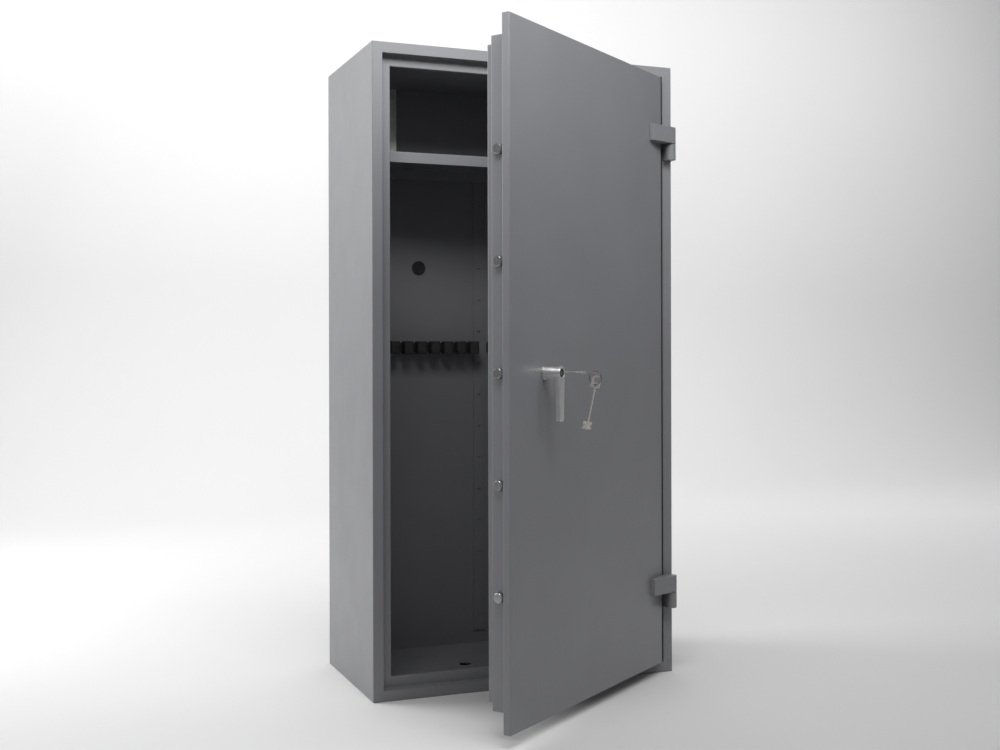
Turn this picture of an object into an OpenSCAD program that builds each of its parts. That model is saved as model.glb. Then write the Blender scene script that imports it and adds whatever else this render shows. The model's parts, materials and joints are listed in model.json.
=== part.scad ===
// Double-skinned steel gun safe with one door hung on two outside lift-off hinges.
// Frame: origin at the centre of the underside, +X to the right, +Y to the back, +Z up.
// The door is modelled shut and then swung to its resting angle about the hinge pins.
// Places inside the cabinet are given as u (in from the left side), v (back from the
// front face) and z (up from the floor).

/* [Cabinet] */
// Overall width
cab_w = 770; // [740:10:820]
// Overall depth
cab_d = 400; // [380:10:460]
// Overall height
cab_h = 1500; // [1400:10:1600]
// Thickness of the outer sheet
sheet = 3; // [2:0.5:3]
// Thickness of the inner sheet
liner_t = 2; // [1.5:0.5:2]
// Overall thickness of the double wall, and width of the front flange
wall = 25; // [22:1:28]

/* [Door frame] */
// Depth from the front face to the stop lip
rebate_d = 24; // [22:1:24]
// Distance from the cabinet's side to the edge of the stop lip
lip_edge = 50; // [46:1:50]
// Depth of the lip with its folded return
lip_return = 8; // [6:1:8]

/* [Door] */
// Resting angle of the door
door_angle = 36.2; // [0:0.1:120]
// Gap round the shut door
door_gap = 3; // [2:0.5:4]
// Depth of the door's folded edge
door_edge = 18; // [16:1:18]
// Thickness of the door's front plate
skin_t = 5; // [4:0.5:6]
// Step in from the door's edge to the bolt box, at its sides
box_inset = 37; // [36:1:40]
// Step in from the door's edge to the bolt box, at its top and bottom
box_inset_z = 32; // [30:1:40]
// Depth of the bolt box behind the door's edge
box_d = 49; // [46:1:52]
// Depth of the inner cover
cover_d = 18; // [14:1:20]

/* [Hinges] */
// Distance of the hinge pins from the right-hand side
pin_inset = 12; // [12:1:14]
// Distance of the hinge pins in front of the cabinet
pin_out = 18; // [17:1:20]
// Radius of the hinge knuckles
knuckle_r = 13; // [12:0.5:13]
// Radius of the hinge pins
hinge_pin_r = 6; // [5:0.5:7]
// Height of the meeting face of each hinge above the floor
hinge_z = [203, 1307];
// Height of one hinge leaf
leaf_h = 40; // [30:1:50]

/* [Boltwork] */
// Number of locking bolts
bolt_count = 5; // [3:2:5]
// Distance between bolts
bolt_pitch = 228; // [200:1:240]
// Radius of the locking bolts
bolt_r = 11; // [9:0.5:11]
// Distance that the withdrawn bolts stand out of the bolt box
bolt_proud = 11; // [4:1:11]
// Module of the pinion and rack
tooth_module = 1.5;
// Teeth on the pinion
pinion_teeth = 17; // [16:1:18]

/* [Handle and key] */
// Distance from the door's free edge to the handle's axis
handle_u = 137; // [132:1:150]
// Distance from the handle's axis to the keyhole
keyhole_offset = 70; // [60:1:75]
// Length of the lever below its axis
lever_l = 100; // [80:1:110]
// Length of the hub
hub_l = 40; // [30:1:50]
// Length of the keys
key_l = 117; // [115:1:120]

/* [Fittings] */
// Height of the top of the shelf above the floor
shelf_z = 1268; // [1200:1:1300]
// Distance of the shelf's front edge behind the cabinet's front
shelf_v = 97; // [90:1:120]
// Height of the middle of the barrel rack
rack_z = 807; // [700:1:900]
// Distance between rack pads
pad_pitch = 36; // [34:1:40]
// Width of one rack pad
pad_w = 25; // [20:1:28]

/* [Hidden] */
$fn = 48;

paint = [0.42, 0.43, 0.45];
inner_paint = [0.20, 0.205, 0.215];
steel = [0.72, 0.72, 0.72];
zinc = [0.62, 0.63, 0.60];
satin = [0.80, 0.80, 0.81];
black = [0.07, 0.07, 0.075];
brass = [0.72, 0.58, 0.30];

mid_z = cab_h / 2;
pin_u = cab_w - pin_inset;
door_l = wall + door_gap;
door_r = cab_w - wall - door_gap;
box_l = door_l + box_inset;
box_r = door_r - box_inset;
box_z0 = door_l + box_inset_z;
box_z1 = cab_h - box_z0;
box_back = door_edge + box_d;
cover_back = box_back + cover_d;
cover_inset = 14;
box_wall = 3;
box_flange = 34;
cover_t = 2;

fit = 0.05;          // radial gap of a running fit
bolt_v = 47;         // depth of the bolts' axes
bar_u = box_l + 27;  // front of the bolt bar
bar_t = 12;
bar_w = 20;
tenon_r = 4;
axis_u = door_l + handle_u;
key_u = axis_u + keyhole_offset;
spindle_r = 6;
gear_v = [42, 50];
pitch_r = tooth_module * pinion_teeth / 2;
rack_pitch = PI * tooth_module;
tooth_slack = 0.35;  // thinning of each tooth at the pitch line
pressure_angle = 20;
travel = pitch_r * PI / 2;
rack_arm_z = [mid_z - 35, mid_z - pitch_r - 1.25 * tooth_module];

hub_r = 12.25;
hub_gap = 0.3;
bush_flange_t = 2;
hub_end = -(bush_flange_t + hub_gap + hub_l);
lever_t = 11;
lever_root_w = 22;
lever_tip_w = 16;

hard_t = 6;
case_v = [skin_t + hard_t, 36];
case_u = [key_u - 22, key_u + 62];
case_z = [mid_z - 50, mid_z + 50];
case_wall = 2;
stud_u = key_u + 10;
stud_r = 4;

rack_c = cab_w / 2 + 13;
upright_w = 30;
rail_v = [350, 354];
pad_v = [322, 350];
pad_h = 32;
liner_back_v = cab_d - wall;
anchor_r = 7;
access_r = 14;
floor_anchor = [281, 163];
wall_anchor = [232, 1014];

// Moves to a place given as u, v and z.
module at(u, v, z) { translate([u - cab_w / 2, v - cab_d / 2, z]) children(); }

// A block between two limits on each of u, v and z.
module slab(u, v, z) {
    at(u[0], v[0], z[0]) cube([u[1] - u[0], v[1] - v[0], z[1] - z[0]]);
}

// A round bar along v, from depth v[0] to v[1].
module rod_v(u, z, v, r) { at(u, v[0], z) rotate([-90, 0, 0]) cylinder(r = r, h = v[1] - v[0]); }

// A round bar along u.
module rod_u(u, v, z, r) { at(u[0], v, z) rotate([0, 90, 0]) cylinder(r = r, h = u[1] - u[0]); }

// A flat outline in u and z, extruded back from depth v[0] to v[1].
module outline_v(v) {
    translate([-cab_w / 2, v[1] - cab_d / 2, 0])
        rotate([90, 0, 0]) linear_extrude(v[1] - v[0]) children();
}

// Swings shut-door geometry to the door's resting angle.
module on_door() {
    translate([pin_u - cab_w / 2, -pin_out - cab_d / 2, 0]) rotate([0, 0, door_angle])
        translate([cab_w / 2 - pin_u, pin_out + cab_d / 2, 0]) children();
}

// The right-hand twin of a left-hand piece of the cabinet.
module right_hand() { mirror([1, 0, 0]) children(); }

// ---- Cabinet shell ----

module side_sheet() {
    slab([0, sheet], [0, cab_d], [0, cab_h]);
    outline_v([0, sheet])
        polygon([[sheet, sheet], [wall, wall], [wall, cab_h - wall], [sheet, cab_h - sheet]]);
}
module outer_side_left() { color(paint) side_sheet(); }
module outer_side_right() { color(paint) right_hand() side_sheet(); }

// Flange of the top or bottom sheet, mitred to the side flanges; z_out is its outer height.
module cross_flange(z_out, z_in) {
    outline_v([0, sheet]) polygon([
        [sheet, z_out], [wall, z_in], [cab_w - wall, z_in], [cab_w - sheet, z_out]
    ]);
}
module outer_top() {
    color(paint) {
        slab([sheet, cab_w - sheet], [0, cab_d], [cab_h - sheet, cab_h]);
        cross_flange(cab_h - sheet, cab_h - wall);
    }
}
module outer_bottom() {
    color(paint) {
        difference() {
            slab([sheet, cab_w - sheet], [0, cab_d], [0, sheet]);
            for (u = [floor_anchor[0], cab_w - floor_anchor[0]])
                at(u, floor_anchor[1], -1) cylinder(r = anchor_r, h = sheet + 2);
        }
        cross_flange(sheet, wall);
    }
}
module outer_back() {
    color(paint) difference() {
        slab([sheet, cab_w - sheet], [cab_d - sheet, cab_d], [sheet, cab_h - sheet]);
        for (u = [wall_anchor[0], cab_w - wall_anchor[0]])
            rod_v(u, wall_anchor[1], [cab_d - sheet - 1, cab_d + 1], anchor_r);
    }
}

// ---- Door frame: rebate wall, stop lip and its return, mitred at the corners ----

module frame_section() {
    polygon([
        [wall - sheet, sheet], [wall, sheet], [wall, rebate_d], [lip_edge, rebate_d],
        [lip_edge, rebate_d + lip_return], [lip_edge - sheet, rebate_d + lip_return],
        [lip_edge - sheet, rebate_d + sheet], [wall - sheet, rebate_d + sheet]
    ]);
}
module jamb() {
    intersection() {
        translate([-cab_w / 2, -cab_d / 2, 0]) linear_extrude(cab_h) frame_section();
        outline_v([0, wall + lip_edge])
            polygon([[0, 0], [lip_edge + 1, lip_edge + 1],
                     [lip_edge + 1, cab_h - lip_edge - 1], [0, cab_h]]);
    }
}
module cross_rail() {
    intersection() {
        translate([-cab_w / 2, -cab_d / 2, 0]) rotate([0, 90, 0]) rotate([0, 0, 90])
            linear_extrude(cab_w) mirror([1, 0]) rotate(90) frame_section();
        outline_v([0, wall + lip_edge])
            polygon([[0, 0], [cab_w, 0], [cab_w - lip_edge - 1, lip_edge + 1],
                     [lip_edge + 1, lip_edge + 1]]);
    }
}
module frame_jamb_left() { color(paint) jamb(); }
module frame_jamb_right() { color(paint) right_hand() jamb(); }
module frame_sill() { color(paint) cross_rail(); }
module frame_head() {
    color(paint) translate([0, 0, cab_h]) mirror([0, 0, 1]) cross_rail();
}

// ---- Liner and the stiffeners between the two skins ----

module liner_side() {
    slab([wall, wall + liner_t], [rebate_d + sheet, liner_back_v], [wall, cab_h - wall]);
}
module liner_side_left() { color(inner_paint) liner_side(); }
module liner_side_right() { color(inner_paint) right_hand() liner_side(); }

liner_in = wall + liner_t;
module liner_ceiling() {
    color(inner_paint) slab([liner_in, cab_w - liner_in], [rebate_d + sheet, liner_back_v],
                            [cab_h - liner_in, cab_h - wall]);
}
module liner_floor() {
    color(inner_paint) difference() {
        slab([liner_in, cab_w - liner_in], [rebate_d + sheet, liner_back_v], [wall, liner_in]);
        for (u = [floor_anchor[0], cab_w - floor_anchor[0]])
            at(u, floor_anchor[1], wall - 1) cylinder(r = access_r, h = liner_t + 2);
    }
}
plug_r = 15;
module liner_back() {
    color(inner_paint) difference() {
        slab([liner_in, cab_w - liner_in], [liner_back_v - liner_t, liner_back_v],
             [liner_in, cab_h - liner_in]);
        for (u = [wall_anchor[0], cab_w - wall_anchor[0]])
            rod_v(u, wall_anchor[1], [liner_back_v - liner_t - 1, liner_back_v + 1], plug_r);
    }
}

stiffener_w = 40;
// Channel between a side's two skins, with its open face to the liner.
module side_channel(v) {
    difference() {
        slab([sheet, wall], [v, v + stiffener_w], [wall, cab_h - wall]);
        slab([sheet + liner_t, wall + 1], [v + liner_t, v + stiffener_w - liner_t],
             [wall - 1, cab_h - wall + 1]);
    }
}
module back_channel(u) {
    difference() {
        slab([u, u + stiffener_w], [liner_back_v, cab_d - sheet], [wall, cab_h - wall]);
        slab([u + liner_t, u + stiffener_w - liner_t],
             [liner_back_v - 1, cab_d - sheet - liner_t], [wall - 1, cab_h - wall + 1]);
    }
}
module wall_stiffeners() {
    color(zinc) {
        for (v = [110, 260]) {
            side_channel(v);
            right_hand() side_channel(v);
        }
        for (u = [120, cab_w / 2 - stiffener_w / 2, cab_w - 120 - stiffener_w])
            back_channel(u);
    }
}

// ---- Hinges ----

// Plan of a hinge knuckle round its pin, flat against the cabinet's front.
module knuckle_plan() {
    circle(r = knuckle_r);
    translate([-knuckle_r, 0]) square([2 * knuckle_r, pin_out]);
}
washer_t = 1.5;     // height left between the leaves of a hinge
washer_play = 0.1;  // part of that height left free, so that the door turns easily
pin_sink = 4;  // how far each pin stops short of the outer ends of its leaves
module hinge_knuckles() {
    color(paint) for (z = hinge_z) difference() {
        at(pin_u, -pin_out, z - leaf_h) linear_extrude(leaf_h - washer_t) knuckle_plan();
        at(pin_u, -pin_out, z - leaf_h + pin_sink)
            cylinder(r = hinge_pin_r, h = leaf_h);
    }
}
module hinge_pins() {
    color(steel) for (z = hinge_z)
        at(pin_u, -pin_out, z - leaf_h + pin_sink)
            cylinder(r = hinge_pin_r, h = 2 * (leaf_h - pin_sink));
}
module hinge_washers() {
    color(brass) for (z = hinge_z) difference() {
        at(pin_u, -pin_out, z - washer_t) cylinder(r = knuckle_r - 1, h = washer_t - washer_play);
        at(pin_u, -pin_out, z - washer_t - 1) cylinder(r = hinge_pin_r + 0.2, h = washer_t + 2);
    }
}
strap_reach = 65;   // from the door's hinge edge to the strap's far end
strap_t = 12;       // thickness of the strap at its far end
strap_clear = 2;    // gap between the strap and the cabinet's front flange
module strap_plan() {
    circle(r = knuckle_r);
    far = door_r - strap_reach - pin_u;
    slope_u = -knuckle_r * sin(18);
    slope_v = -knuckle_r * cos(18);
    polygon([
        [far, pin_out], [far, pin_out - strap_t], [slope_u, slope_v], [0, 0],
        [0, pin_out - strap_clear - 8], [-8, pin_out - strap_clear],
        [door_r - pin_u, pin_out - strap_clear], [door_r - pin_u, pin_out]
    ]);
}
module hinge_straps() {
    color(paint) on_door() for (z = hinge_z) difference() {
        at(pin_u, -pin_out, z) linear_extrude(leaf_h) strap_plan();
        at(pin_u, -pin_out, z - 1)
            cylinder(r = hinge_pin_r + fit, h = leaf_h - pin_sink + 1.5);
    }
}

// ---- Shelf ----

module shelf() {
    shelf_h = 25;
    back_v = liner_back_v - liner_t - 10;
    color(paint) difference() {
        slab([liner_in + 1, cab_w - liner_in - 1], [shelf_v, back_v],
             [shelf_z - shelf_h, shelf_z]);
        slab([liner_in + 1 + liner_t, cab_w - liner_in - 1 - liner_t],
             [shelf_v + liner_t, back_v - liner_t],
             [shelf_z - shelf_h - 1, shelf_z - liner_t]);
    }
}
// Angles on the side walls that carry the shelf.
module shelf_brackets() {
    leg = 25;
    top = shelf_z - 25;
    module angle() {
        slab([liner_in, liner_in + 2], [130, 340], [top - leg, top]);
        slab([liner_in + 2, liner_in + leg], [130, 340], [top - 2, top]);
    }
    color(inner_paint) {
        angle();
        right_hand() angle();
    }
}
// Straps from the ceiling down the back wall, bolted behind the shelf's rear edge.
module shelf_straps() {
    module strap() {
        slab([146, 170], [liner_back_v - liner_t - 9, liner_back_v - liner_t],
             [shelf_z - 25, cab_h - liner_in]);
    }
    color(zinc) {
        strap();
        right_hand() strap();
    }
}

// ---- Barrel rack ----

module rack_upright() {
    slot = [8, 3.5];
    v = [liner_back_v - liner_t - 3, liner_back_v - liner_t];
    color(inner_paint) difference() {
        slab([rack_c - upright_w / 2, rack_c + upright_w / 2], v, [60, shelf_z - 28]);
        for (k = [-11 : 2])
            slab([rack_c - slot[0] / 2, rack_c + slot[0] / 2], [v[0] - 1, v[1] + 1],
                 [1015 + 83 * k - slot[1] / 2, 1015 + 83 * k + slot[1] / 2]);
    }
}
left_pads = floor((rack_c - upright_w / 2 - liner_in) / pad_pitch);
right_pads = floor((cab_w - liner_in - rack_c - upright_w / 2) / pad_pitch);
// Rail standing off the back wall on two feet, from u[0] to u[1].
module rack_rail(u) {
    foot = 20;
    z = [rack_z - 12, rack_z + 12];
    slab(u, rail_v, z);
    for (f = [u[0] + 30, u[1] - 30 - foot])
        slab([f, f + foot], [rail_v[1], liner_back_v - liner_t], z);
}
module rack_rail_left() {
    color(black) rack_rail([rack_c - upright_w / 2 - left_pads * pad_pitch,
                            rack_c - upright_w / 2]);
}
module rack_rail_right() {
    color(black) rack_rail([rack_c + upright_w / 2,
                            rack_c + upright_w / 2 + right_pads * pad_pitch]);
}
pad_round = 5;
// One rack pad with a rounded front, its left edge at u.
module rack_pad(u) {
    depth = pad_v[1] - pad_v[0];
    at(u, pad_v[1], rack_z - pad_h / 2) linear_extrude(pad_h) {
        translate([0, -depth + pad_round]) square([pad_w, depth - pad_round]);
        translate([pad_round, -depth]) square([pad_w - 2 * pad_round, depth]);
        for (x = [pad_round, pad_w - pad_round])
            translate([x, -depth + pad_round]) circle(r = pad_round);
    }
}
module rack_pads() {
    color(black) {
        for (k = [1 : left_pads])
            rack_pad(rack_c - upright_w / 2 + pad_pitch - pad_w - k * pad_pitch);
        for (k = [0 : right_pads - 1])
            rack_pad(rack_c + upright_w / 2 + k * pad_pitch);
    }
}

// Push-in plugs that cover the rear anchor holes in the liner.
module wall_anchor_plugs() {
    face = liner_back_v - liner_t;
    color(black) for (u = [wall_anchor[0], cab_w - wall_anchor[0]]) difference() {
        union() {
            rod_v(u, wall_anchor[1], [face - 2.5, face], plug_r + 3);
            rod_v(u, wall_anchor[1], [face - 1, face + 8], plug_r);
        }
        rod_v(u, wall_anchor[1], [face - 3, face - 1], plug_r - 5);
        rod_v(u, wall_anchor[1], [face + 2, face + 9], plug_r - 2);
    }
}

// ---- Door ----

// Keyhole through a plate: a round hole with a slot for the key's two bits.
shank_r = 2;
bit_r = 10;
module keyhole(v) {
    rod_v(key_u, mid_z, v, shank_r + 0.4);
    slab([key_u - bit_r - 0.7, key_u + bit_r + 0.7], v, [mid_z - 1.6, mid_z + 1.6]);
}
bush_r = 9;
module door_skin() {
    edge_t = 4;
    color(paint) on_door() difference() {
        slab([door_l, door_r], [0, door_edge], [door_l, cab_h - door_l]);
        slab([door_l + edge_t, door_r - edge_t], [skin_t, door_edge + 1],
             [door_l + edge_t, cab_h - door_l - edge_t]);
        rod_v(axis_u, mid_z, [-1, skin_t + 1], bush_r);
        keyhole([-1, skin_t + 1]);
    }
}
module door_backing_frame() {
    color(paint) on_door() difference() {
        slab([door_l + 4, door_r - 4], [skin_t, door_edge], [door_l + 4, cab_h - door_l - 4]);
        slab([box_l + 14, box_r - 14], [skin_t - 1, door_edge + 1],
             [box_z0 + 14, box_z1 - 14]);
    }
}
function bolt_z(k) = mid_z + (k - (bolt_count - 1) / 2) * bolt_pitch;
module bolt_box() {
    color(paint) on_door() difference() {
        slab([box_l, box_r], [door_edge, box_back], [box_z0, box_z1]);
        slab([box_l + box_wall, box_r - box_wall], [door_edge - 1, box_back - box_wall],
             [box_z0 + box_wall, box_z1 - box_wall]);
        slab([box_l + box_flange, box_r - box_flange], [door_edge, box_back + 1],
             [box_z0 + box_flange, box_z1 - box_flange]);
        for (k = [0 : bolt_count - 1])
            rod_u([box_l - 1, box_l + box_wall + 1], bolt_v, bolt_z(k), bolt_r + 0.1);
    }
}
cover_screw_z = [for (k = [0 : 4]) box_z0 + 30 + k * (box_z1 - box_z0 - 60) / 4];
cover_screw_u = [box_l + 27, box_r - 27];
module inner_cover() {
    color(paint) on_door() difference() {
        slab([box_l + cover_inset, box_r - cover_inset], [box_back, cover_back],
             [box_z0 + cover_inset, box_z1 - cover_inset]);
        slab([box_l + cover_inset + cover_t, box_r - cover_inset - cover_t],
             [box_back - 1, cover_back - cover_t],
             [box_z0 + cover_inset + cover_t, box_z1 - cover_inset - cover_t]);
        for (u = cover_screw_u, z = cover_screw_z)
            rod_v(u, z, [cover_back - cover_t - 1, cover_back + 1], 2.2);
    }
}
module cover_screws() {
    color(zinc) on_door() for (u = cover_screw_u, z = cover_screw_z) {
        rod_v(u, z, [box_back, cover_back], 2);
        rod_v(u, z, [cover_back, cover_back + 2], 4.5);
    }
}
// Fixed bar that hooks behind the frame on the hinge side.
module dog_bar() {
    engagement = 6;
    color(steel) on_door()
        slab([box_r, cab_w - lip_edge + engagement], [38, 58], [150, cab_h - 150]);
}
module hard_plate() {
    color(steel) on_door() difference() {
        slab([case_u[0] - 6, case_u[1] + 6], [skin_t, skin_t + hard_t],
             [case_z[0] - 6, case_z[1] + 6]);
        keyhole([skin_t - 1, skin_t + hard_t + 1]);
    }
}
module lock_case() {
    color(zinc) on_door() difference() {
        slab(case_u, [case_v[0], case_v[1] - case_wall], case_z);
        slab([case_u[0] + case_wall, case_u[1] - case_wall],
             [case_v[0] + case_wall, case_v[1]],
             [case_z[0] + case_wall, case_z[1] - case_wall]);
        rod_v(key_u, mid_z, [case_v[0] - 1, case_v[0] + case_wall + 1], bit_r + 0.8);
    }
}
tail_z = mid_z + 32;
tail_r = 3;
lock_throw = 12;
case_screws = [[case_u[0] + 8, case_z[0] + 8], [case_u[1] - 8, case_z[0] + 8],
               [case_u[0] + 8, case_z[1] - 8], [case_u[1] - 8, case_z[1] - 8]];
module lock_cover() {
    v = [case_v[1] - case_wall, case_v[1]];
    color(zinc) on_door() difference() {
        slab(case_u, v, case_z);
        slab([key_u - tail_r - 0.5, key_u + tail_r + 0.5], [v[0] - 1, v[1] + 1],
             [tail_z - lock_throw - 4, tail_z + 4]);
        for (p = case_screws) rod_v(p[0], p[1], [v[0] - 1, v[1] + 1], 2.2);
    }
}
module lock_screws() {
    color(steel) on_door() for (p = case_screws) {
        rod_v(p[0], p[1], [case_v[0] + case_wall, case_v[1]], 2);
        rod_v(p[0], p[1], [case_v[1], case_v[1] + 1.8], 4);
    }
}
module key_escutcheon() {
    color(satin) on_door() difference() {
        rod_v(key_u, mid_z, [-1.5, 0], 14);
        keyhole([-2.5, 1]);
    }
}
module handle_bush() {
    color(zinc) on_door() difference() {
        union() {
            rod_v(axis_u, mid_z, [-bush_flange_t, 0], 14.5);
            rod_v(axis_u, mid_z, [-1, skin_t + 4], bush_r);
        }
        rod_v(axis_u, mid_z, [-bush_flange_t - 1, skin_t + 5], spindle_r + fit);
    }
}
// Bracket from the door plate that carries the inner end of the spindle.
module spindle_bridge() {
    u = [axis_u - 14, axis_u + 14];
    leg_z = [mid_z + 26, mid_z + 30];
    color(zinc) on_door() difference() {
        union() {
            slab(u, [skin_t, 56], leg_z);
            slab(u, [52, 56], [mid_z - 12, leg_z[1]]);
        }
        rod_v(axis_u, mid_z, [51, 57], spindle_r + fit);
    }
}
guide_u = bar_u + bar_t + 21;
guide_z = [mid_z - 1.5 * bolt_pitch, mid_z + 1.5 * bolt_pitch];
module guide_posts() {
    color(steel) on_door() for (z = guide_z) {
        rod_v(guide_u, z, [skin_t, 55], 4);
        rod_v(guide_u, z, [51.5, 54.5], 8);
    }
}

// ---- Handle ----

// Down-hanging lever outline about the handle's axis, in u and z.
module lever_outline() {
    tip_round = 4;
    translate([axis_u, mid_z]) {
        circle(r = hub_r);
        polygon([
            [-lever_root_w / 2, -5], [-lever_tip_w / 2, -lever_l + tip_round],
            [-lever_tip_w / 2 + tip_round, -lever_l], [lever_tip_w / 2 - tip_round, -lever_l],
            [lever_tip_w / 2, -lever_l + tip_round], [lever_root_w / 2, -5]
        ]);
    }
}
recess_r = 9.3;
module handle_lever() {
    color(satin) on_door() difference() {
        union() {
            rod_v(axis_u, mid_z, [hub_end, -bush_flange_t - hub_gap], hub_r);
            outline_v([hub_end, hub_end + lever_t]) lever_outline();
        }
        rod_v(axis_u, mid_z, [hub_end - 1, hub_end + 4], recess_r);
        rod_v(axis_u, mid_z, [hub_end + 8, 0], spindle_r);
    }
}
module handle_spindle() {
    color(steel) on_door() rod_v(axis_u, mid_z, [hub_end + 8, 57], spindle_r);
}
module hub_insert() {
    color(black) on_door() difference() {
        rod_v(axis_u, mid_z, [hub_end + 1.5, hub_end + 4], recess_r);
        rod_v(axis_u, mid_z, [hub_end, hub_end + 3], 4);
    }
}
module hub_screw() {
    color(steel) on_door() difference() {
        rod_v(axis_u, mid_z, [hub_end + 1.2, hub_end + 3], 3.6);
        rod_v(axis_u, mid_z, [hub_end, hub_end + 2.4], 1.6);
    }
}

// Involute angle, in degrees, of a pressure angle.
function inv_deg(a) = tan(a) * 180 / PI - a;
base_r = pitch_r * cos(pressure_angle);
// Half of a pinion tooth's angle at radius r.
function half_tooth(r) = 90 / pinion_teeth - tooth_slack / 2 / pitch_r * 180 / PI
    + inv_deg(pressure_angle) - (r > base_r ? inv_deg(acos(base_r / r)) : 0);
function polar(r, a) = [r * cos(a), r * sin(a)];
module pinion_outline() {
    root_r = pitch_r - 1.25 * tooth_module;
    radii = [root_r, base_r, pitch_r - 0.3, pitch_r + 0.7, pitch_r + tooth_module];
    polygon([for (k = [0 : pinion_teeth - 1]) let (c = -90 + k * 360 / pinion_teeth) each [
        for (r = radii) polar(r, c - half_tooth(r)),
        for (j = [4 : -1 : 0]) polar(radii[j], c + half_tooth(radii[j]))
    ]]);
}
module drive_pinion() {
    color(steel) on_door() difference() {
        outline_v(gear_v) translate([axis_u, mid_z]) pinion_outline();
        rod_v(axis_u, mid_z, [gear_v[0] - 1, gear_v[1] + 1], spindle_r);
    }
}

// ---- Boltwork ----

module bolt_bar() {
    z = [bolt_z(0) - 20, bolt_z(bolt_count - 1) + 20];
    color(zinc) on_door() difference() {
        slab([bar_u, bar_u + bar_t], [bolt_v - bar_w / 2, bolt_v + bar_w / 2], z);
        for (k = [0 : bolt_count - 1])
            rod_u([bar_u - 1, bar_u + bar_t + 1], bolt_v, bolt_z(k), tenon_r + fit);
    }
}
module locking_bolts() {
    tip = box_l - bolt_proud;
    chamfer = 1.5;
    color(steel) on_door() for (k = [0 : bolt_count - 1]) {
        at(tip, bolt_v, bolt_z(k)) rotate([0, 90, 0])
            cylinder(r1 = bolt_r - chamfer, r2 = bolt_r, h = chamfer);
        rod_u([tip + chamfer, bar_u], bolt_v, bolt_z(k), bolt_r);
        rod_u([bar_u, bar_u + bar_t + 9], bolt_v, bolt_z(k), tenon_r);
    }
}
module bolt_nuts() {
    u = bar_u + bar_t;
    color(zinc) on_door() for (k = [0 : bolt_count - 1]) difference() {
        at(u, bolt_v, bolt_z(k)) rotate([0, 90, 0]) cylinder(r = 7.5, h = 6, $fn = 6);
        rod_u([u - 1, u + 7], bolt_v, bolt_z(k), tenon_r + fit);
    }
}
// Arm from the bolt bar with teeth on its upper edge, in mesh below the pinion.
module rack_outline() {
    root = rack_arm_z[1];
    tip = mid_z - pitch_r + tooth_module;
    pitch_half = rack_pitch / 4 - tooth_slack / 2;
    root_half = pitch_half + 1.25 * tooth_module * tan(pressure_angle);
    tip_half = pitch_half - tooth_module * tan(pressure_angle);
    last = ceil(travel / rack_pitch) + 2;
    near = bar_u + bar_t;
    far = stud_u + 10;
    polygon([
        [near, rack_arm_z[0]], [near, root],
        for (k = [-4 : last]) let (c = axis_u + (k + 0.5) * rack_pitch) each
            [[c - root_half, root], [c - tip_half, tip], [c + tip_half, tip], [c + root_half, root]],
        [far, root], [far, rack_arm_z[0]]
    ]);
}
module drive_rack() { color(zinc) on_door() outline_v(gear_v) rack_outline(); }
// Arms that slide on the guide posts and keep the bolt bar upright.
module slotted_arms() {
    slot_r = 4.3;
    v = [bolt_v - 4, bolt_v + 4];
    color(zinc) on_door() for (z = guide_z) difference() {
        slab([bar_u + bar_t, guide_u + travel + 14], v, [z - 13, z + 13]);
        for (u = [guide_u, guide_u + travel]) rod_v(u, z, [v[0] - 1, v[1] + 1], slot_r);
        slab([guide_u, guide_u + travel], [v[0] - 1, v[1] + 1], [z - slot_r, z + slot_r]);
    }
}
module stop_stud() {
    color(steel) on_door() rod_v(stud_u, mid_z - 25, [case_v[1] + 1, gear_v[0]], stud_r);
}
// Sliding blocker behind the lock case: it drops past either side of the stop stud.
module lock_bolt() {
    v = [case_v[1] + 0.8, case_v[1] + 4.8];
    color(steel) on_door() {
        slab([key_u - 4, key_u + 4], v, [mid_z - 17, mid_z + 42]);
        rod_v(key_u, tail_z, [case_v[1] - 8, v[1]], tail_r);
    }
}

// ---- Keys ----

bow_w = 20;
bow_l = 26;
web = 3;
key_t = 2;
bit_l = 16;
hang_r = 3.9;           // hole near the shank that the ring of the spare key runs through
hang_x = key_l - 20.5;  // its place along the key
// Flat outline of a key along +X, its tip at x = 0 and its bow at the far end.
module bow_outline() {
    c = key_l - bow_w / 2;
    hole_r = 6;
    difference() {
        union() {
            translate([key_l - bow_l, -bow_w / 2 + 3]) square([bow_l - 10, bow_w - 6]);
            translate([key_l - bow_l + 3, -bow_w / 2]) square([bow_l - 13, bow_w]);
            translate([c, 0]) circle(r = bow_w / 2);
            for (y = [-1, 1])
                translate([key_l - bow_l + 3, y * (bow_w / 2 - 3)]) circle(r = 3);
        }
        translate([key_l - web - hole_r, 0]) circle(r = hole_r);
        translate([hang_x, 0]) circle(r = hang_r);
        for (y = [-6.5, 6.5]) translate([hang_x - 1, y]) circle(r = 1.3);
    }
}
module bit_outline() {
    notch = 2.4;
    for (s = [-1, 1]) scale([1, s]) polygon([
        [2, 0], [2, bit_r], [2 + notch, bit_r], [2 + notch, bit_r - 3],
        [2 + 2 * notch, bit_r - 3], [2 + 2 * notch, bit_r - 1],
        [2 + 3 * notch, bit_r - 1], [2 + 3 * notch, bit_r - 4],
        [2 + 4 * notch, bit_r - 4], [2 + 4 * notch, bit_r], [2 + bit_l, bit_r - 1],
        [2 + bit_l, 0]
    ]);
}
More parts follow.
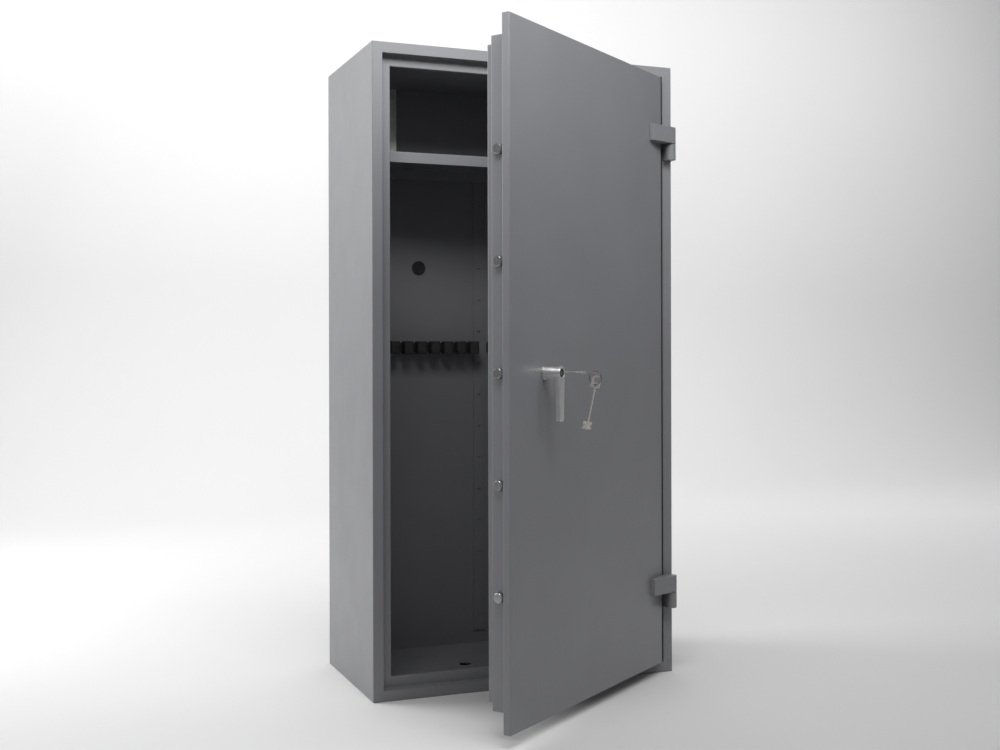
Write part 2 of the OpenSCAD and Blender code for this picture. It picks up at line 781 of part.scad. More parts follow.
// A key lying along +X in the XY plane.
module plain_key() {
    translate([0, 0, -key_t / 2]) linear_extrude(key_t) {
        bow_outline();
        bit_outline();
    }
    rotate([0, 90, 0]) cylinder(r = shank_r, h = key_l - bow_l + 1);
    for (x = [key_l - bow_l - 8, key_l - bow_l - 1])
        translate([x, 0, 0]) rotate([0, 90, 0]) cylinder(r = shank_r + 1.4, h = 2.2);
}
key_tip_v = 33;
web_v = key_tip_v - key_l + web / 2;  // the web at the bow's end, which the ring hangs on
ring_r = 14;
ring_wire = 1;
ring_lift = 2.8;                       // from the middle of the web up to the ring's wire
ring_z = mid_z + ring_lift - ring_r;
module key() {
    color(satin) on_door() at(key_u, key_tip_v, mid_z) rotate([0, 0, -90]) plain_key();
}
module key_ring() {
    color(steel) on_door() at(key_u, web_v, ring_z)
        rotate([0, 90, 0]) rotate_extrude() translate([ring_r, 0]) circle(r = ring_wire, $fn = 24);
}
spare_tilt = 13;
spare_turn = 40;
spare_hang = hang_x + 1;  // place along the spare key of the ring's wire
module spare_key() {
    color(satin) on_door() at(key_u, web_v, ring_z - ring_r)
        rotate([spare_tilt, 0, 0]) rotate([0, 0, spare_turn]) translate([0, 0, -spare_hang])
            rotate([0, -90, 0]) plain_key();
}

outer_side_left();
outer_side_right();
outer_top();
outer_bottom();
outer_back();
frame_jamb_left();
frame_jamb_right();
frame_head();
frame_sill();
liner_side_left();
liner_side_right();
liner_ceiling();
liner_floor();
liner_back();
wall_stiffeners();
hinge_knuckles();
hinge_pins();
hinge_washers();
shelf();
shelf_brackets();
shelf_straps();
rack_upright();
rack_rail_left();
rack_rail_right();
rack_pads();
wall_anchor_plugs();
door_skin();
door_backing_frame();
bolt_box();
inner_cover();
cover_screws();
hinge_straps();
dog_bar();
hard_plate();
lock_case();
lock_cover();
lock_screws();
key_escutcheon();
handle_bush();
spindle_bridge();
guide_posts();
handle_lever();
handle_spindle();
drive_pinion();
hub_insert();
hub_screw();
bolt_bar();
locking_bolts();
bolt_nuts();
drive_rack();
slotted_arms();
stop_stud();
lock_bolt();
key();
key_ring();
spare_key();
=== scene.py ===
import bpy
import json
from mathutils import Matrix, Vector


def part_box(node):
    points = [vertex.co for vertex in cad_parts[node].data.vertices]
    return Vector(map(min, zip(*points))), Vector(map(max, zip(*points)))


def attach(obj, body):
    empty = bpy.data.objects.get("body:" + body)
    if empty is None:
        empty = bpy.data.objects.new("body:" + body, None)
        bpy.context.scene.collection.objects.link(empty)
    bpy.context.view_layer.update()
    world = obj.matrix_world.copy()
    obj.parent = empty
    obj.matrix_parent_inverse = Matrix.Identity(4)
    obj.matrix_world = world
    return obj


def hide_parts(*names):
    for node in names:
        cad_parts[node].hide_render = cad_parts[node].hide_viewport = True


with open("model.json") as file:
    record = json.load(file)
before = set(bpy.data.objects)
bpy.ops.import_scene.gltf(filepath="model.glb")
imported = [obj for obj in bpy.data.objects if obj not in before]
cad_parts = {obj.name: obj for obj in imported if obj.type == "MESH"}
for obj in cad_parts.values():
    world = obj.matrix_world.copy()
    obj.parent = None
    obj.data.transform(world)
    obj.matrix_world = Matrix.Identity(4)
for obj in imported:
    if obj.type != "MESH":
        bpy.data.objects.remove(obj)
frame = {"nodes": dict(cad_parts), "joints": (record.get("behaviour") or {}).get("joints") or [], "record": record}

"""Studio scene of a double-walled gun safe with its door standing open.

Every length is in metres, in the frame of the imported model. Pieces of the door are
laid out with the door shut and then carried to its resting angle.
"""

import json
import logging
import math
from dataclasses import dataclass
from enum import Enum
from typing import Iterable, Sequence

import bmesh
import bpy
from mathutils import Matrix, Vector

LOG = logging.getLogger("gun_safe")
MM = 0.001
SHARP = math.radians(28.0)
Point2 = tuple[float, float]
Colour = tuple[float, float, float]


# ---------------------------------------------------------------- finishes


class Slot(Enum):
    """Material slots of the record that new pieces take their finish from."""

    PAINT = "cabinet_paint"
    INNER = "interior_paint"
    # Real zinc on the screws, and a painted highlight on the shelf straps.
    ZINC_AND_HIGHLIGHT = "zinc_plate"
    STEEL = "bright_steel"
    SATIN = "satin_metal"
    NICKEL = "nickel_plate"
    PLASTIC = "black_plastic"
    RUBBER = "black_rubber"
    BRASS = "bearing_brass"


class Graph:
    """A material's node tree, with short ways to add and join its nodes."""

    def __init__(self, name: str) -> None:
        """Makes an empty material with a surface shader and an output.

        Args:
            name: The material's name.
        """
        self.material = bpy.data.materials.new(name)
        self.material.use_nodes = True
        self.tree = self.material.node_tree
        self.tree.nodes.clear()
        self.shader = self.add("ShaderNodeBsdfPrincipled")
        output = self.tree.nodes.new("ShaderNodeOutputMaterial")
        self.tree.links.new(self.shader.outputs[0], output.inputs["Surface"])
        self.place = self.add("ShaderNodeTexCoord").outputs["Object"]

    def add(self, kind: str, inputs: dict | None = None, **settings: object) -> bpy.types.Node:
        """Adds a node.

        Args:
            kind: The node's type name.
            inputs: Values or sockets for its inputs, by name or number.
            settings: Attributes to set on the node first.

        Returns:
            The new node.
        """
        node = self.tree.nodes.new(kind)
        for key, value in settings.items():
            setattr(node, key, value)
        for key, value in (inputs or {}).items():
            if isinstance(value, bpy.types.NodeSocket):
                self.tree.links.new(value, node.inputs[key])
            else:
                node.inputs[key].default_value = value
        return node

    def stretched(self, scale: Sequence[float]) -> bpy.types.NodeSocket:
        """Object coordinates scaled differently along each axis.

        Args:
            scale: Features per metre along each axis.

        Returns:
            The coordinates socket.
        """
        return self.add("ShaderNodeMapping", {"Vector": self.place, "Scale": scale}).outputs[0]

    def noise(self, scale: float, detail: float = 2.0, vector: object = None) -> bpy.types.NodeSocket:
        """A noise value from 0 to 1.

        Args:
            scale: Features per metre.
            detail: Octaves of finer noise.
            vector: Coordinates to use in place of the plain ones.

        Returns:
            The noise value's socket.
        """
        source = self.place if vector is None else vector
        inputs = {"Vector": source, "Scale": scale, "Detail": detail}
        return self.add("ShaderNodeTexNoise", inputs).outputs["Fac"]

    def spread(self, value: bpy.types.NodeSocket, low: float, high: float) -> bpy.types.NodeSocket:
        """Maps the middle of a noise value's range onto low to high.

        Args:
            value: The noise value.
            low: The result for the low end.
            high: The result for the high end.

        Returns:
            The mapped value's socket.
        """
        inputs = {"Value": value, "From Min": 0.3, "From Max": 0.7, "To Min": low, "To Max": high}
        return self.add("ShaderNodeMapRange", inputs).outputs["Result"]

    def tint(self, value: bpy.types.NodeSocket, first: Colour, second: Colour) -> None:
        """Blends the base colour between two colours by a value.

        Args:
            value: The value that picks the colour.
            first: The colour for low values.
            second: The colour for high values.
        """
        ramp = self.add("ShaderNodeValToRGB", {"Fac": value})
        ramp.color_ramp.elements[0].position = 0.3
        ramp.color_ramp.elements[0].color = (*first, 1.0)
        ramp.color_ramp.elements[1].position = 0.7
        ramp.color_ramp.elements[1].color = (*second, 1.0)
        self.tree.links.new(ramp.outputs["Color"], self.shader.inputs["Base Color"])

    def roughness(self, value: bpy.types.NodeSocket) -> None:
        """Drives the shader's roughness.

        Args:
            value: The socket to use.
        """
        self.tree.links.new(value, self.shader.inputs["Roughness"])

    def bump(self, layers: Iterable[tuple[bpy.types.NodeSocket, float, float]]) -> None:
        """Stacks bump layers, each a height socket, a strength and a depth in metres.

        Args:
            layers: The layers, coarsest first.
        """
        normal = None
        for height, strength, depth in layers:
            inputs = {"Height": height, "Strength": strength, "Distance": depth}
            if normal is not None:
                inputs["Normal"] = normal
            normal = self.add("ShaderNodeBump", inputs).outputs["Normal"]
        self.tree.links.new(normal, self.shader.inputs["Normal"])


def shade(colour: Colour, factor: float) -> Colour:
    """A colour made lighter or darker by a factor.

    Args:
        colour: The colour to change.
        factor: What each channel is multiplied by.

    Returns:
        The new colour, no brighter than white.
    """
    return tuple(min(1.0, channel * factor) for channel in colour)


@dataclass(frozen=True)
class PowderCoat:
    """Stoved paint on sheet steel: fine orange peel over slightly wavy sheet."""

    name: str
    colour: Colour
    gloss_low: float = 0.36
    gloss_high: float = 0.44
    peel_scale: float = 620.0
    peel_depth: float = 0.00012
    wave_depth: float = 0.0006

    def build(self) -> bpy.types.Material:
        """Makes the material.

        Returns:
            The new material.
        """
        graph = Graph(self.name)
        graph.tint(graph.noise(5.0, 3.0), shade(self.colour, 0.97), shade(self.colour, 1.03))
        graph.roughness(graph.spread(graph.noise(9.0, 4.0), self.gloss_low, self.gloss_high))
        graph.shader.inputs["IOR"].default_value = 1.5
        graph.shader.inputs["Specular IOR Level"].default_value = 0.55
        graph.bump([
            (graph.noise(2.2, 1.0), 0.25, self.wave_depth),
            (graph.noise(self.peel_scale, 2.0), 0.35, self.peel_depth),
        ])
        return graph.material


@dataclass(frozen=True)
class WorkedMetal:
    """Bare or plated metal with fine marks drawn out along one direction."""

    name: str
    colour: Colour
    rough_low: float
    rough_high: float
    marks: tuple[float, float, float] = (900.0, 900.0, 60.0)
    mark_depth: float = 0.00003
    blotch: float = 0.06
    anisotropy: float = 0.0

    def build(self) -> bpy.types.Material:
        """Makes the material.

        Returns:
            The new material.
        """
        graph = Graph(self.name)
        cloud = graph.noise(70.0, 4.0)
        graph.tint(cloud, shade(self.colour, 1.0 - self.blotch), shade(self.colour, 1.0 + self.blotch))
        streaks = graph.noise(1.0, 3.0, graph.stretched(self.marks))
        graph.roughness(graph.spread(streaks, self.rough_low, self.rough_high))
        graph.shader.inputs["Metallic"].default_value = 1.0
        graph.shader.inputs["Anisotropic"].default_value = self.anisotropy
        graph.bump([(streaks, 0.5, self.mark_depth)])
        return graph.material


@dataclass(frozen=True)
class Moulding:
    """Black plastic or rubber with a fine moulded grain."""

    name: str
    colour: Colour
    rough_low: float
    rough_high: float
    grain_scale: float
    grain_depth: float

    def build(self) -> bpy.types.Material:
        """Makes the material.

        Returns:
            The new material.
        """
        graph = Graph(self.name)
        graph.tint(graph.noise(40.0, 3.0), shade(self.colour, 0.8), shade(self.colour, 1.3))
        graph.roughness(graph.spread(graph.noise(120.0, 3.0), self.rough_low, self.rough_high))
        graph.shader.inputs["Specular IOR Level"].default_value = 0.4
        graph.bump([(graph.noise(self.grain_scale, 2.0), 0.4, self.grain_depth)])
        return graph.material


GRAPHITE: Colour = (0.205, 0.208, 0.222)
FINISHES = {
    Slot.PAINT: PowderCoat("graphite_powder_coat", GRAPHITE),
    # The inside wears the cabinet's graphite darkened to 0.85: painted shade for the dim interior. Its higher
    # roughness is the paint's own.
    Slot.INNER: PowderCoat("interior_graphite_paint", shade(GRAPHITE, 0.85), 0.48, 0.58),
    # The screws wear this as real zinc. The shelf straps wear it as a painted highlight that makes them stand out
    # bright.
    Slot.ZINC_AND_HIGHLIGHT: WorkedMetal("dull_zinc_plate", (0.56, 0.56, 0.53), 0.38, 0.55, blotch=0.14),
    Slot.STEEL: WorkedMetal("turned_steel", (0.40, 0.40, 0.40), 0.26, 0.38, mark_depth=0.00001),
    Slot.SATIN: WorkedMetal(
        "satin_alloy", (0.97, 0.97, 0.97), 0.34, 0.46, (1500.0, 1500.0, 40.0), anisotropy=0.3),
    Slot.NICKEL: WorkedMetal(
        "nickel_plate", (0.88, 0.85, 0.81), 0.24, 0.36, (500.0, 500.0, 500.0), 0.00001, 0.03),
    Slot.PLASTIC: Moulding("black_plastic", (0.016, 0.016, 0.018), 0.42, 0.55, 1800.0, 0.00005),
    Slot.RUBBER: Moulding("soft_black_rubber", (0.022, 0.022, 0.024), 0.62, 0.78, 900.0, 0.0001),
    Slot.BRASS: WorkedMetal("bearing_brass", (0.20, 0.15, 0.08), 0.34, 0.46),
}
RING_WIRE = WorkedMetal("ring_wire", (0.12, 0.12, 0.12), 0.30, 0.42, mark_depth=0.00001)


# ---------------------------------------------------------------- mesh tools


def filleted(corners: Sequence[Point2], radii: Sequence[float], steps: int = 4) -> list[Point2]:
    """Rounds the corners of a closed outline with arcs.

    Args:
        corners: The outline's corners in order.
        radii: The radius of each corner, or 0 to keep it sharp.
        steps: Segments in each arc.

    Returns:
        The rounded outline's points.
    """
    result: list[Point2] = []
    count = len(corners)
    for index, radius in enumerate(radii):
        corner = Vector(corners[index])
        if radius <= 0.0:
            result.append(corners[index])
            continue
        before = (Vector(corners[index - 1]) - corner).normalized()
        after = (Vector(corners[(index + 1) % count]) - corner).normalized()
        half = before.angle(after) / 2
        centre = corner + (before + after).normalized() * (radius / math.sin(half))
        start = corner + before * (radius / math.tan(half)) - centre
        end = corner + after * (radius / math.tan(half)) - centre
        turn = start.angle_signed(end)
        for step in range(steps + 1):
            arm = Matrix.Rotation(-turn * step / steps, 2) @ start
            result.append(tuple(centre + arm))
    return result


def bridged(rings: Sequence[Sequence[Vector]], closed: bool, capped: bool) -> bmesh.types.BMesh:
    """Joins rings of points with quads.

    Args:
        rings: Rings with equal numbers of points.
        closed: Whether the last ring joins the first.
        capped: Whether the first and last rings are filled.

    Returns:
        The mesh, with its normals outwards.
    """
    mesh = bmesh.new()
    made = [[mesh.verts.new(point) for point in ring] for ring in rings]
    pairs = list(zip(made, made[1:])) + ([(made[-1], made[0])] if closed else [])
    size = len(made[0])
    for first, second in pairs:
        for index in range(size):
            following = (index + 1) % size
            mesh.faces.new((first[index], first[following], second[following], second[index]))
    if capped:
        mesh.faces.new(made[0])
        mesh.faces.new(list(reversed(made[-1])))
    bmesh.ops.recalc_face_normals(mesh, faces=mesh.faces)
    return mesh


@dataclass(frozen=True)
class Surround:
    """An upright rectangle that a folded section runs round, mitred at its corners."""

    left: float
    right: float
    bottom: float
    top: float
    front: float
    corner: float = 0.0015
    corner_steps: int = 3

    def ring(self, inset: float, depth: float) -> list[Vector]:
        """The rectangle's outline drawn in by inset, at a depth behind the front.

        Args:
            inset: How far in from the rectangle.
            depth: How far behind the front.

        Returns:
            The outline's points.
        """
        radius = max(self.corner - inset, 0.0004)
        centre_x, centre_z = (self.left + self.right) / 2, (self.bottom + self.top) / 2
        reach_x = (self.right - self.left) / 2 - inset - radius
        reach_z = (self.top - self.bottom) / 2 - inset - radius
        points = []
        for quarter, (side_x, side_z) in enumerate([(1, 1), (-1, 1), (-1, -1), (1, -1)]):
            for step in range(self.corner_steps + 1):
                angle = math.pi / 2 * (quarter + step / self.corner_steps)
                points.append(Vector((
                    centre_x + side_x * reach_x + radius * math.cos(angle),
                    self.front + depth,
                    centre_z + side_z * reach_z + radius * math.sin(angle),
                )))
        return points

    def folded(self, section: Sequence[Point2], closed: bool = True) -> bmesh.types.BMesh:
        """A section of (inset, depth) points carried round the rectangle.

        Args:
            section: The section's points.
            closed: Whether the section closes on itself.

        Returns:
            The closed mesh.
        """
        return bridged([self.ring(*point) for point in section], closed, not closed)


def extruded(outline: Sequence[Point2], low: float, high: float) -> bmesh.types.BMesh:
    """An outline in x and y, raised from one height to another.

    Args:
        outline: The outline's points in order.
        low: The height of the first end.
        high: The height of the other end.

    Returns:
        The closed mesh.
    """
    rings = [[Vector((x, y, height)) for x, y in outline] for height in (low, high)]
    return bridged(rings, False, True)


def turned(profile: Sequence[Point2], steps: int = 48) -> bmesh.types.BMesh:
    """A closed solid turned about the Z axis from (radius, height) points that start and end on it.

    Args:
        profile: Points that start and end on the axis.
        steps: Facets round the axis.

    Returns:
        The closed mesh.
    """
    rings = []
    for radius, height in profile[1:-1]:
        rings.append([
            Vector((radius * math.cos(math.tau * k / steps), radius * math.sin(math.tau * k / steps), height))
            for k in range(steps)
        ])
    return bridged(rings, False, True)


def tube(path: Sequence[Vector], radius: float, sides: int = 10) -> bmesh.types.BMesh:
    """A round wire with closed ends along a path.

    Args:
        path: Points along the wire's middle.
        radius: The wire's radius.
        sides: Facets round the wire.

    Returns:
        The closed mesh.
    """
    rings = []
    side = (path[1] - path[0]).orthogonal()
    for index, point in enumerate(path):
        tangent = (path[min(index + 1, len(path) - 1)] - path[max(index - 1, 0)]).normalized()
        side = (side - tangent * side.dot(tangent)).normalized()
        up = tangent.cross(side)
        rings.append([
            point + (side * math.cos(a) + up * math.sin(a)) * radius
            for a in (math.tau * k / sides for k in range(sides))
        ])
    return bridged(rings, False, True)


def cad_mesh(node: str) -> bmesh.types.BMesh:
    """A merged copy of a CAD node's mesh, its flat faces whole.

    Args:
        node: The node's name.

    Returns:
        The copy, free to be changed.
    """
    mesh = bmesh.new()
    mesh.from_mesh(frame["nodes"][node].data)
    bmesh.ops.remove_doubles(mesh, verts=mesh.verts, dist=0.000002)
    bmesh.ops.dissolve_limit(mesh, angle_limit=math.radians(0.3), verts=mesh.verts, edges=mesh.edges)
    return mesh


def soften(mesh: bmesh.types.BMesh, width: float, steps: int = 2, angle: float = 35.0) -> bmesh.types.BMesh:
    """Rounds a mesh's sharp outside and inside edges.

    Args:
        mesh: The mesh to change.
        width: How far each rounding reaches from its edge.
        steps: Segments across each rounding.
        angle: The least turn, in degrees, between faces that counts as sharp.

    Returns:
        The same mesh.
    """
    sharp = [
        edge for edge in mesh.edges
        if edge.is_manifold and edge.calc_face_angle(0.0) > math.radians(angle)
    ]
    bmesh.ops.bevel(mesh, geom=sharp, offset=width, segments=steps, profile=0.5,
                    affect="EDGES", clamp_overlap=True)
    return mesh


class Workshop:
    """Turns meshes into finished pieces that ride on the model's bodies."""

    def __init__(self) -> None:
        """Makes the materials and dresses the carried-over nodes."""
        self.materials = {slot: finish.build() for slot, finish in FINISHES.items()}
        slots = {part["node"]: part["material_slot"] for part in frame["record"]["subparts"]}
        for name, node in frame["nodes"].items():
            self.dress(node, Slot(slots[name]))

    def dress(self, piece: bpy.types.Object, slot: Slot) -> None:
        """Gives a piece one finish.

        Args:
            piece: The object to finish.
            slot: The slot whose finish it gets.
        """
        piece.data.materials.clear()
        piece.data.materials.append(self.materials[slot])

    def object(self, name: str, mesh: bmesh.types.BMesh, place: Matrix | None = None) -> bpy.types.Object:
        """Makes a smooth-shaded object at the origin from a mesh, and frees the mesh.

        Args:
            name: The object's name.
            mesh: The mesh, which is freed.
            place: A transform for the mesh first.

        Returns:
            The new object.
        """
        if place is not None:
            mesh.transform(place)
        data = bpy.data.meshes.new(name)
        mesh.to_mesh(data)
        mesh.free()
        for polygon in data.polygons:
            polygon.use_smooth = True
        piece = bpy.data.objects.new(name, data)
        bpy.context.scene.collection.objects.link(piece)
        data.set_sharp_from_angle(angle=SHARP)
        return piece

    def settle(self, piece: bpy.types.Object) -> bpy.types.Object:
        """Makes the result of a piece's modifiers its plain mesh.

        Args:
            piece: The object to make plain.

        Returns:
            The same object.
        """
        graph = bpy.context.evaluated_depsgraph_get()
        data = bpy.data.meshes.new_from_object(piece.evaluated_get(graph))
        data.name = piece.name
        piece.modifiers.clear()
        old = piece.data
        piece.data = data
        bpy.data.meshes.remove(old)
        return piece

    def bored(self, piece: bpy.types.Object, cutters: Sequence[bmesh.types.BMesh]) -> bpy.types.Object:
        """Cuts the cutters' shapes out of a piece.

        Args:
            piece: The object to cut.
            cutters: The shapes to cut away, which are freed.

        Returns:
            The same object.
        """
        tools = []
        for number, cutter in enumerate(cutters):
            tool = self.object(f"cutter_{number}", cutter)
            modifier = piece.modifiers.new("bore", "BOOLEAN")
            modifier.operation = "DIFFERENCE"
            modifier.solver = "EXACT"
            modifier.object = tool
            tools.append(tool)
        self.settle(piece)
        for tool in tools:
            bpy.data.objects.remove(tool)
        piece.data.set_sharp_from_angle(angle=SHARP)
        return piece

    def flatten(self, piece: bpy.types.Object) -> None:
        """Keeps the shading of wide flat faces true beside their narrow rounded edges.

        Args:
            piece: The object whose shading is set.
        """
        modifier = piece.modifiers.new("flatten", "WEIGHTED_NORMAL")
        modifier.mode = "FACE_AREA"
        modifier.weight = 100
        modifier.keep_sharp = True
        self.settle(piece)

    def issue(
        self,
        piece: bpy.types.Object,
        slot: Slot,
        body: str,
        stands_for: Sequence[str] = (),
    ) -> bpy.types.Object:
        """Finishes a piece and hands it to a body.

        Args:
            piece: The object, in place in its mesh.
            slot: The slot whose finish it wears.
            body: The body that it rides on.
            stands_for: The CAD nodes that it replaces.

        Returns:
            The piece.
        """
        self.flatten(piece)
        self.dress(piece, slot)
        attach(piece, body)
        if stands_for:
            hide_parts(*stands_for)
        LOG.info("%s: %d faces on %s", piece.name, len(piece.data.polygons), body)
        return piece

    def softened_node(
        self,
        node: str,
        slot: Slot,
        body: str,
        width: float,
        steps: int = 2,
    ) -> bpy.types.Object:
        """Replaces a CAD node by the same shape with rounded edges.

        Args:
            node: The node's name.
            slot: The slot whose finish it wears.
            body: The body that it rides on.
            width: How far each rounding reaches.
            steps: Segments across each rounding.

        Returns:
            The new piece.
        """
        piece = self.object(node.replace("_", "-"), soften(cad_mesh(node), width, steps))
        return self.issue(piece, slot, body, [node])


class Repeater:
    """A Geometry Nodes tree that lays copies of a part along a straight line."""

    def __init__(self, material: bpy.types.Material) -> None:
        """Builds the tree.

        Args:
            material: The finish of the repeated part.
        """
        self.tree = bpy.data.node_groups.new("row_of_parts", "GeometryNodeTree")
        face = self.tree.interface
        face.new_socket("Part", in_out="INPUT", socket_type="NodeSocketGeometry")
        self.count = face.new_socket("Count", in_out="INPUT", socket_type="NodeSocketInt")
        self.step = face.new_socket("Step", in_out="INPUT", socket_type="NodeSocketVector")
        face.new_socket("Row", in_out="OUTPUT", socket_type="NodeSocketGeometry")
        nodes, link = self.tree.nodes, self.tree.links.new
        entry = nodes.new("NodeGroupInput")
        line = nodes.new("GeometryNodeMeshLine")
        copies = nodes.new("GeometryNodeInstanceOnPoints")
        real = nodes.new("GeometryNodeRealizeInstances")
        finish = nodes.new("GeometryNodeSetMaterial")
        leave = nodes.new("NodeGroupOutput")
        finish.inputs["Material"].default_value = material
        link(entry.outputs["Count"], line.inputs["Count"])
        link(entry.outputs["Step"], line.inputs["Offset"])
        link(line.outputs["Mesh"], copies.inputs["Points"])
        link(entry.outputs["Part"], copies.inputs["Instance"])
        link(copies.outputs["Instances"], real.inputs["Geometry"])
        link(real.outputs["Geometry"], finish.inputs["Geometry"])
        link(finish.outputs["Geometry"], leave.inputs["Row"])

    def lay(self, shop: Workshop, part: bpy.types.Object, count: int, step: Vector) -> bpy.types.Object:
        """Turns one part into a row of them as a plain mesh.

        Args:
            shop: The workshop that settles the result.
            part: The first part of the row, in its place.
            count: How many parts the row has.
            step: The way from each part to the next.

        Returns:
            The part's object, now the whole row.
        """
        modifier = part.modifiers.new("row", "NODES")
        modifier.node_group = self.tree
        modifier[self.count.identifier] = count
        modifier[self.step.identifier] = tuple(step)
        return shop.settle(part)


# ---------------------------------------------------------------- places


class DoorSpace:
    """The door's own layout, shut, and the way from it to the door's resting angle."""

    def __init__(self) -> None:
        """Reads the hinge's pin and the resting angle from the record."""
        hinge = next(joint for joint in frame["joints"] if joint["name"] == "door_swing")
        pin = Vector(hinge["pos_m"])
        pin.z = 0.0
        angle = -math.radians(hinge["range_deg"][0])
        self.pin = pin
        self.to_rest = Matrix.Translation(pin) @ Matrix.Rotation(angle, 4, "Z") @ Matrix.Translation(-pin)
        self.to_shut = self.to_rest.inverted()

    def box(self, node: str) -> tuple[Vector, Vector]:
        """The lowest and highest corners of a door node with the door shut.

        Args:
            node: The node's name.

        Returns:
            The two corners.
        """
        points = [self.to_shut @ vertex.co for vertex in frame["nodes"][node].data.vertices]
        low = Vector(min(point[axis] for point in points) for axis in range(3))
        high = Vector(max(point[axis] for point in points) for axis in range(3))
        return low, high

    def centre(self, node: str) -> Vector:
        """The middle of a door node's box with the door shut.

        Args:
            node: The node's name.

        Returns:
            The middle point.
        """
        low, high = self.box(node)
        return (low + high) / 2


def along_depth(place: Vector) -> Matrix:
    """Carries a part turned about Z to a place, its Z axis pointing out of the front.

    Args:
        place: Where the base of the part goes.

    Returns:
        The transform.
    """
    return Matrix.Translation(place) @ Matrix.Rotation(math.pi / 2, 4, "X")


def rod(radius: float, start: Vector, length: float, steps: int = 40) -> bmesh.types.BMesh:
    """A plain round cutter that runs outwards from start.

    Args:
        radius: The cutter's radius.
        start: Where it begins.
        length: How far it runs.
        steps: Facets round it.

    Returns:
        The closed mesh.
    """
    mesh = turned([(0, 0), (radius, 0), (radius, length), (0, length)], steps)
    mesh.transform(along_depth(start))
    return mesh


def block(low: Vector, high: Vector) -> bmesh.types.BMesh:
    """A plain block cutter between two corners.

    Args:
        low: The lowest corner.
        high: The highest corner.

    Returns:
        The closed mesh.
    """
    outline = [(low.x, low.y), (high.x, low.y), (high.x, high.y), (low.x, high.y)]
    return extruded(outline, low.z, high.z)


# ---------------------------------------------------------------- cabinet


@dataclass
class CabinetShell:
    """The welded outer body, the door frame inside its front and the back panel."""

    shop: Workshop
    fold: float = 2.2 * MM
    tight_fold: float = 0.8 * MM
    weld_corner: float = 2.0 * MM

    def build(self) -> None:
        """Makes the body, the frame and the back panel."""
        low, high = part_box("outer_side_left")[0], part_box("outer_side_right")[1]
        self.around = Surround(low.x, high.x, low.z, high.z, low.y, self.weld_corner)
        self.depth = high.y - low.y
        self.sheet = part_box("outer_top")[0].x - low.x
        self.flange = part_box("outer_side_left")[1].x - low.x
        self.wrap()
        self.door_frame()
        self.back()

    def wrap(self) -> None:
        """Sides, top and bottom folded to the front flange, with the floor anchor holes."""
        sheet, flange, depth = self.sheet, self.flange, self.depth
        section = filleted(
            [(0, depth), (0, 0), (flange, 0), (flange, sheet), (sheet, sheet), (sheet, depth)],
            [0, self.fold, self.tight_fold, 0, 0, 0])
        piece = self.shop.object("cabinet_body", self.around.folded(section))
        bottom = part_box("outer_bottom")[0].z
        cutters = []
        mount = next(m for m in frame["record"]["mounts"] if m["name"] == "floor_anchor")
        for side in (-0.5, 0.5):
            x = mount["pos_m"][0] + side * mount["dims"]["spacing_x_mm"] * MM
            cutter = turned([(0, 0), (1, 0), (1, 1), (0, 1)], 40)
            radius = mount["dims"]["hole_r_mm"] * MM
            cutter.transform(Matrix.Translation((x, mount["pos_m"][1], bottom - 0.002))
                             @ Matrix.Diagonal((radius, radius, sheet + 0.004, 1)))
            cutters.append(cutter)
        self.shop.bored(piece, cutters)
        self.shop.issue(piece, Slot.PAINT, "cabinet",
                        ["outer_side_left", "outer_side_right", "outer_top", "outer_bottom"])

    def door_frame(self) -> None:
        """Rebate wall, stop lip and its return, welded into one frame."""
        jamb_low, jamb_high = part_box("frame_jamb_left")
        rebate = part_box("liner_ceiling")[0].y - self.around.front - self.sheet
        edge = jamb_high.x - self.around.left
        tail = jamb_high.y - self.around.front
        sheet, wall = self.sheet, self.flange
        section = filleted(
            [(wall - sheet, sheet), (wall, sheet), (wall, rebate), (edge, rebate), (edge, tail),
             (edge - sheet, tail), (edge - sheet, rebate + sheet), (wall - sheet, rebate + sheet)],
            [0, 0, 1.2 * MM, self.fold, 0.4 * MM, 0.4 * MM, 0, 0])
        piece = self.shop.object("door_frame", self.around.folded(section))
        self.shop.issue(piece, Slot.PAINT, "cabinet",
                        ["frame_jamb_left", "frame_jamb_right", "frame_head", "frame_sill"])

    def back(self) -> None:
        """The back panel with its softened weld edge and anchor holes."""
        self.shop.softened_node("outer_back", Slot.PAINT, "cabinet", 0.5 * MM)


@dataclass
class Hinges:
    """Two lift-off hinges: knuckles and pins on the cabinet, straps on the door."""

    shop: Workshop
    edge: float = 1.2 * MM

    def build(self) -> None:
        """Makes the knuckles, straps, pins and washers."""
        self.shop.softened_node("hinge_knuckles", Slot.PAINT, "cabinet", self.edge, 3)
        self.shop.softened_node("hinge_straps", Slot.PAINT, "door", self.edge, 3)
        self.shop.softened_node("hinge_pins", Slot.STEEL, "cabinet", 0.4 * MM)
        self.shop.softened_node("hinge_washers", Slot.BRASS, "cabinet", 0.2 * MM)


